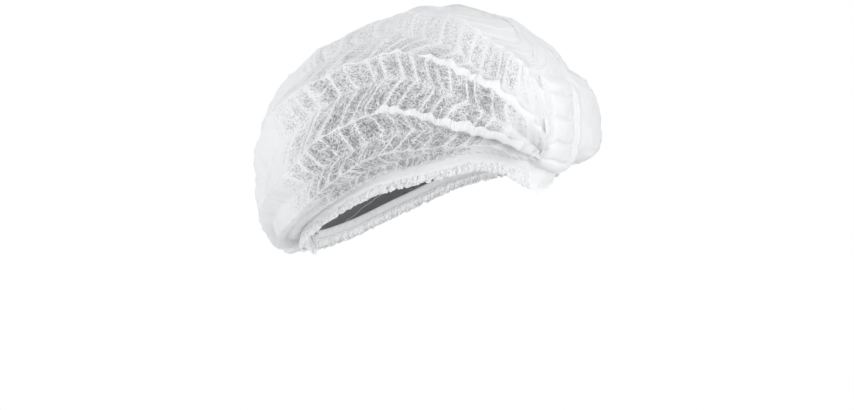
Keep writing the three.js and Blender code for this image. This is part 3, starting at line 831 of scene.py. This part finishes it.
def finishPiece(piece, tree, values):  # sets the inputs, and keeps what the tree makes as a plain mesh
    modifier = piece.modifiers.new("shape", "NODES")
    modifier.node_group = tree
    for item in tree.interface.items_tree:
        if item.item_type == "SOCKET" and item.in_out == "INPUT" and item.name in values:
            modifier[item.identifier] = values[item.name]
    graph = bpy.context.evaluated_depsgraph_get()
    shaped = piece.evaluated_get(graph)
    mesh = bpy.data.meshes.new_from_object(shaped, preserve_all_data_layers=True, depsgraph=graph)
    piece.modifiers.remove(modifier)
    old = piece.data
    piece.data = mesh
    mesh.name = piece.name
    bpy.data.meshes.remove(old)
    return piece


# Strip that hangs from the rim: gathered at its top, waved and curled towards its lower edge

stripFloats = (
    "Drop", "Height", "Wave", "Curl", "Flare", "Gathered", "Scallop", "Bulge", "Ridge", "Ridges", "Bubble",
    "Sink", "Waves", "Stray", "Length", "Cover", "Seed",
)
stripWaver = {
    "scale": 0.7, "detail": 2.0, "drift": 0.6,  # noise that makes the gathers stray
    "patchScale": 0.45, "patchDetail": 1.0, "patchShift": (40, 7, 0), "patchGain": 2.6, "patchLess": 0.5,
    "leastBead": 0.3,
    "uneven": 1.6,
    "lump": 4.5 * mm,  # size of the lumps of a ruffle
}


def buildRimStrip():
    tree, given = openTree("rimStrip", stripFloats, ("Steps", "Rows"))

    def calc(operation, *values, clamp=False):
        return math2(tree, operation, *values, clamp=clamp)

    def spotAt(x, y):
        return put(tree, "ShaderNodeCombineXYZ", {"X": x, "Y": y}).outputs[0]

    def onRim(key, kind):  # a value of the rim's line, with the place and the direction there
        named = put(tree, "GeometryNodeInputNamedAttribute", {"Name": key}, data_type=kind)
        values = {"Curves": curve.outputs[0], "Value": named.outputs["Attribute"], "Factor": factor}
        settings = {"mode": "FACTOR", "data_type": kind, "use_all_curves": True}
        return put(tree, "GeometryNodeSampleCurve", values, **settings).outputs

    curve = put(tree, "GeometryNodeMeshToCurve", {0: given["Geometry"]})
    size = {"Size X": 1.0, "Size Y": 1.0, "Vertices X": given["Steps"], "Vertices Y": given["Rows"]}
    grid = put(tree, "GeometryNodeMeshGrid", size)
    place = put(tree, "ShaderNodeSeparateXYZ", {0: put(tree, "GeometryNodeInputPosition").outputs[0]})
    factor = calc("ADD", place.outputs["X"], 0.5, clamp=True)
    depth = calc("SUBTRACT", 0.5, place.outputs["Y"], clamp=True)
    rim = onRim("outward", "FLOAT_VECTOR")
    sink = onRim("sink", "FLOAT")["Value"]

    w = stripWaver
    waves = calc("MULTIPLY", factor, given["Waves"])
    spot = spotAt(waves, calc("ADD", given["Seed"], calc("MULTIPLY", depth, w["drift"])))
    values = {"Vector": spot, "Scale": w["scale"], "Detail": w["detail"]}
    noise = put(tree, "ShaderNodeTexNoise", values, noise_dimensions="2D")
    noise = calc("SUBTRACT", noise.outputs["Fac"], 0.5)
    shifted = vector2(tree, "ADD", spot, w["patchShift"])
    values = {"Vector": shifted, "Scale": w["patchScale"], "Detail": w["patchDetail"]}
    patches = put(tree, "ShaderNodeTexNoise", values, noise_dimensions="2D")
    strength = calc("MULTIPLY_ADD", patches.outputs["Fac"], w["patchGain"], -w["patchLess"], clamp=True)
    phase = calc("MULTIPLY", calc("ADD", waves, calc("MULTIPLY", noise, given["Stray"])), 2 * math.pi)
    free = calc("SUBTRACT", 1.0, given["Gathered"])
    loose = calc("ADD", given["Gathered"], calc("MULTIPLY", depth, free))
    bead = calc("ABSOLUTE", calc("COSINE", calc("MULTIPLY", phase, 0.5)))  # notched between beads
    bead = calc("MULTIPLY", calc("MULTIPLY_ADD", bead, 2.0, -1.0), calc("ADD", strength, w["leastBead"]))
    bead = calc("MULTIPLY", bead, loose)

    belly = calc("SINE", calc("MULTIPLY", depth, math.pi))
    ridges = calc("COSINE", calc("MULTIPLY", calc("MULTIPLY", depth, given["Ridges"]), 2 * math.pi))
    spots = spotAt(calc("MULTIPLY", factor, given["Length"]),
                   calc("MULTIPLY_ADD", depth, given["Height"], given["Seed"]))
    values = {"Vector": spots, "Scale": 1 / w["lump"], "Randomness": 1.0}
    lumps = put(tree, "ShaderNodeTexVoronoi", values, voronoi_dimensions="2D", feature="SMOOTH_F1")
    lump = calc("SUBTRACT", 0.5, lumps.outputs["Distance"])
    swing = calc("MULTIPLY", bead, given["Wave"])
    for amount, name in ((depth, "Flare"), (belly, "Bulge"), (ridges, "Ridge"), (lump, "Bubble")):
        swing = calc("MULTIPLY_ADD", amount, given[name], swing)
    curl = calc("MULTIPLY", calc("MULTIPLY", calc("SINE", phase), given["Curl"]), loose)
    scallop = calc("MULTIPLY", calc("ADD", bead, calc("MULTIPLY", noise, w["uneven"])), given["Scallop"])
    scallop = calc("MULTIPLY", scallop, calc("POWER", depth, 2.0))
    low = calc("SINE", calc("MULTIPLY", depth, math.pi / 2))  # the lower edge turns in
    tall = calc("MULTIPLY_ADD", sink, given["Sink"], given["Height"])
    fall = calc("ADD", given["Drop"], calc("MULTIPLY_ADD", low, tall, scallop))
    moved = rim["Position"]
    for way, amount in ((rim["Value"], swing), (rim["Tangent"], curl), ((0, 0, -1), fall)):
        moved = vector2(tree, "ADD", moved, vector2(tree, "SCALE", way, scale=amount))

    gridUv = put(tree, "ShaderNodeSeparateXYZ", {0: grid.outputs["UV Map"]})
    flat = spotAt(calc("MULTIPLY", gridUv.outputs["X"], given["Length"]),
                  calc("MULTIPLY", gridUv.outputs["Y"], given["Height"]))  # metres on the cloth
    values = {"Geometry": grid.outputs["Mesh"], "Name": "clothUV", "Value": flat}
    uvStore = put(tree, "GeometryNodeStoreNamedAttribute", values, data_type="FLOAT2", domain="CORNER")
    shaped = put(tree, "GeometryNodeSetPosition", {"Geometry": uvStore.outputs[0], "Position": moved})
    values = {"Geometry": shaped.outputs[0], "Name": "layers", "Value": given["Cover"]}
    coverStore = put(tree, "GeometryNodeStoreNamedAttribute", values, data_type="FLOAT", domain="POINT")
    shade = put(tree, "GeometryNodeSetShadeSmooth", {0: coverStore.outputs[0]})
    closeTree(tree, shade.outputs[0], given["Finish"])
    return tree


rimStrip = buildRimStrip()

ruffle = {
    "Drop": 6.0 * mm, "Height": 7.2 * mm, "Wave": 0.8 * mm, "Curl": 0.8 * mm, "Flare": -0.6 * mm,
    "Gathered": 0.3, "Scallop": 0.9 * mm, "Bulge": 1.7 * mm, "Ridge": 0.0, "Ridges": 0.0, "Bubble": 2.6 * mm,
    "Sink": 1.0, "Waves": 62.0, "Stray": 4.0, "Steps": 1380, "Rows": 13, "Length": 0.36, "Cover": 0.2,
    "Finish": foldFinish,
}
hem = {
    "Drop": -0.6 * mm, "Height": 8.6 * mm, "Wave": 0.12 * mm, "Curl": 0.0, "Flare": 0.3 * mm,
    "Gathered": 0.4, "Scallop": 0.0, "Bulge": 1.5 * mm, "Ridge": 0.2 * mm, "Ridges": 2.0, "Bubble": 0.0,
    "Sink": 0.6, "Waves": 40.0, "Stray": 4.0, "Steps": 700, "Rows": 25, "Length": 0.3, "Cover": 0.7,
    "Finish": foldFinish,
}
stripSeeds = {"ruffle": 3.0, "hem": 9.0}

sides = {"right": -1, "left": 1}
ruffles = {}
hems = {}
for word, side in sides.items():
    seeded = {**ruffle, "Seed": stripSeeds["ruffle"] + side}
    ruffles[word] = finishPiece(rimPath(f"ruffle_{word}_cloth", side), rimStrip, seeded)
    seeded = {**hem, "Seed": stripSeeds["hem"] + side}
    hems[word] = finishPiece(rimPath(f"hem_{word}_cloth", side), rimStrip, seeded)
print("rim strips:", sum(len(p.data.polygons) for p in [*ruffles.values(), *hems.values()]), "faces")

# Loose fibres that lie on the crown

looseFibres = {
    "Density": 24000.0, "Length": 9 * mm, "Thick": 0.16 * mm, "Bend": 2.6 * mm, "Lift": 0.08 * mm,
    "Seed": 5, "Finish": fibreFinish,
}
fibreShapes = {
    "count": 5,  # different bends among the fibres
    "points": 11,
    "turn": 0.7, "moreTurn": 0.45, "shift": 1.7,  # half waves of the first bend, and what each next one adds
    "size": (0.5, 1.4),
}


def buildLooseFibres():
    tree, given = openTree("looseFibres", ("Density", "Length", "Thick", "Bend", "Lift"), ("Seed",))
    f = fibreShapes

    def pointAt(axis, amount):
        return put(tree, "ShaderNodeCombineXYZ", {axis: amount}).outputs[0]

    shapes = put(tree, "GeometryNodeGeometryToInstance")
    for i in range(f["count"]):
        line = put(tree, "GeometryNodeCurvePrimitiveLine", {"End": pointAt("X", given["Length"])})
        points = put(tree, "GeometryNodeResampleCurve", {"Curve": line.outputs[0], "Count": f["points"]})
        along = put(tree, "GeometryNodeSplineParameter").outputs["Factor"]
        turn = math2(tree, "MULTIPLY_ADD", along, math.pi * (f["turn"] + f["moreTurn"] * i), f["shift"] * i)
        bend = pointAt("Y", math2(tree, "MULTIPLY", math2(tree, "SINE", turn), given["Bend"]))
        shaped = put(tree, "GeometryNodeSetPosition", {"Geometry": points.outputs[0], "Offset": bend})
        tree.links.new(shaped.outputs[0], shapes.inputs[0])
    closed = put(tree, "GeometryNodeInputNamedAttribute", {"Name": "layers"}, data_type="FLOAT")
    bare = math2(tree, "SUBTRACT", 1.0, closed.outputs["Attribute"], clamp=True)  # none on cloth in layers
    density = math2(tree, "MULTIPLY", given["Density"], bare)
    values = {"Mesh": given["Geometry"], "Density": density, "Seed": given["Seed"]}
    spread = put(tree, "GeometryNodeDistributePointsOnFaces", values)
    spin = put(tree, "FunctionNodeRandomValue", {2: 0.0, 3: 2 * math.pi, "Seed": 1}, data_type="FLOAT")
    turned = put(tree, "FunctionNodeAxisAngleToRotation", {"Axis": (0, 0, 1), "Angle": spin.outputs[1]})
    values = {"Rotation": spread.outputs["Rotation"], "Rotate By": turned.outputs[0]}
    facing = put(tree, "FunctionNodeRotateRotation", values, rotation_space="LOCAL")
    least, most = f["size"]
    size = put(tree, "FunctionNodeRandomValue", {2: least, 3: most, "Seed": 2}, data_type="FLOAT")
    placed = put(tree, "GeometryNodeInstanceOnPoints", {
        "Points": spread.outputs["Points"], "Instance": shapes.outputs[0], "Pick Instance": True,
        "Rotation": facing.outputs[0], "Scale": size.outputs[1],
    })
    real = put(tree, "GeometryNodeRealizeInstances", {0: placed.outputs[0]})

    cloth = put(tree, "GeometryNodeProximity", {0: given["Geometry"]}, target_element="FACES")
    values = {"Mesh": given["Geometry"], "Value": put(tree, "GeometryNodeInputNormal").outputs["Normal"]}
    above = put(tree, "GeometryNodeSampleNearestSurface", values, data_type="FLOAT_VECTOR").outputs["Value"]
    laid = put(tree, "GeometryNodeSetPosition", {  # every point of a fibre comes down on the cloth
        "Geometry": real.outputs[0], "Position": cloth.outputs["Position"],
        "Offset": vector2(tree, "SCALE", above, scale=given["Lift"]),
    })
    values = {"Curve": laid.outputs[0], "Normal": above}
    upright = put(tree, "GeometryNodeSetCurveNormal", values, mode="FREE")
    ends = {name: pointAt("Y", math2(tree, "MULTIPLY", given["Thick"], way))
            for name, way in (("Start", -1.0), ("End", 1.0))}
    section = put(tree, "GeometryNodeCurvePrimitiveLine", ends)  # a fibre is a flat strip
    values = {"Curve": upright.outputs[0], "Profile Curve": section.outputs["Curve"]}
    strip = put(tree, "GeometryNodeCurveToMesh", values)
    closeTree(tree, strip.outputs[0], given["Finish"])
    return tree


fibreBase = bpy.data.objects.new("loose_fibres", crownPiece.data.copy())
scene.collection.objects.link(fibreBase)
fibrePiece = finishPiece(fibreBase, buildLooseFibres(), looseFibres)
print("loose fibres:", len(fibrePiece.data.polygons), "faces")

# Pieces on the frame

onFrame = [(crownPiece, "crown", "cloth")]
onFrame += [(endPieces[key], end["node"], "cloth") for key, end in foldedEnds.items()]
for word in sides:
    onFrame += [(ruffles[word], f"ruffle_{word}", "cloth"), (hems[word], f"elastic_{word}", "elastic")]
for piece, node, slotName in onFrame:
    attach(piece, "root")
    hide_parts(node)
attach(fibrePiece, "root")

# Light, floor and camera

studio = {
    "floorDrop": 0.30, "floorRadius": 1.4, "floorSides": 96, "floorFade": (0.6, 1.3),
    "floorColour": (0.8, 0.8, 0.8, 1), "floorRoughness": 0.9,
    "backdrop": (1, 1, 1, 1), "skyColour": (0.97, 0.985, 1, 1), "ambient": 0.72,
}
lights = [  # name, place, what it points at, size and power
    ("front", (-0.6, -1.6, 0.25), (0, 0, 0.04), 1.2, 12.6),
    ("back", (-0.7, 1.6, -0.15), (0, 0.05, 0.0), 1.2, 11.0),
    ("side", (1.5, 0.7, 0.6), (0, 0, 0.04), 1.2, 9),
    ("low", (-1.3, -0.8, -0.25), (0, 0, 0.0), 0.8, 4.4),
    ("under", (-1.0, 1.1, -0.27), (0, 0.08, 0.0), 0.7, 2.6),
    ("top", (-1.2, -0.4, 1.2), (0, 0, 0.04), 1.2, 8),
]
view = {
    "azimuth": -68, "elevation": 2.5, "distance": 1.8, "target": (0, 0, -0.0142),
    "frameWidth": 0.632, "sensor": 36, "nearest": 0.01,
}


def buildWorld():
    world = bpy.data.worlds.new("studio")
    scene.world = world
    world.use_nodes = True
    tree = world.node_tree
    tree.nodes.clear()
    seen = put(tree, "ShaderNodeBackground", {"Color": studio["backdrop"], "Strength": 1.0})
    soft = put(tree, "ShaderNodeBackground", {"Color": studio["skyColour"], "Strength": studio["ambient"]})
    onView = put(tree, "ShaderNodeLightPath").outputs["Is Camera Ray"]
    choose = put(tree, "ShaderNodeMixShader", {"Fac": onView, 1: soft.outputs[0], 2: seen.outputs[0]})
    put(tree, "ShaderNodeOutputWorld", {"Surface": choose.outputs[0]})


def areaLight(name, place, target, size, power):
    data = bpy.data.lights.new(name, "AREA")
    data.shape = "DISK"
    data.size = size
    data.energy = power
    light = bpy.data.objects.new(name, data)
    light.location = place
    light.rotation_euler = (Vector(target) - Vector(place)).to_track_quat("-Z", "Y").to_euler()
    scene.collection.objects.link(light)


def buildFloor():
    mesh = bpy.data.meshes.new("floor")
    turns = np.linspace(0, 2 * math.pi, studio["floorSides"] + 1)[:-1]
    z = cadBox[0].z - studio["floorDrop"]
    points = [(studio["floorRadius"] * math.cos(t), studio["floorRadius"] * math.sin(t), z) for t in turns]
    mesh.from_pydata(points, [], [list(range(len(points)))])
    material = bpy.data.materials.new("paleFloor")
    material.use_nodes = True
    tree = material.node_tree
    shader = tree.nodes["Principled BSDF"]
    shader.inputs["Base Color"].default_value = studio["floorColour"]
    shader.inputs["Roughness"].default_value = studio["floorRoughness"]
    fromMiddle = vector2(tree, "LENGTH", put(tree, "ShaderNodeTexCoord").outputs["Object"])
    starts, ends = studio["floorFade"]
    values = {"Value": fromMiddle, "From Min": starts, "From Max": ends, "To Min": 1.0, "To Max": 0.0}
    faint = put(tree, "ShaderNodeMapRange", values, interpolation_type="SMOOTHSTEP")
    feed(tree, shader.inputs["Alpha"], faint.outputs["Result"])  # the floor fades out towards its edge
    mesh.materials.append(material)
    floor = bpy.data.objects.new("floor", mesh)
    scene.collection.objects.link(floor)


def aimCamera():
    turn = math.radians(view["azimuth"])
    up = math.radians(view["elevation"])
    back = Vector((math.sin(turn) * math.cos(up), -math.cos(turn) * math.cos(up), math.sin(up)))
    data = bpy.data.cameras.new("camera")
    data.sensor_width = view["sensor"]
    data.lens = view["sensor"] * view["distance"] / view["frameWidth"]
    data.clip_start = view["nearest"]
    camera = bpy.data.objects.new("camera", data)
    camera.location = Vector(view["target"]) + back * view["distance"]
    camera.rotation_euler = (-back).to_track_quat("-Z", "Y").to_euler()
    scene.collection.objects.link(camera)
    scene.camera = camera


buildWorld()
for light in lights:
    areaLight(*light)
buildFloor()
aimCamera()
scene.view_settings.view_transform = "Standard"
print("studio set")
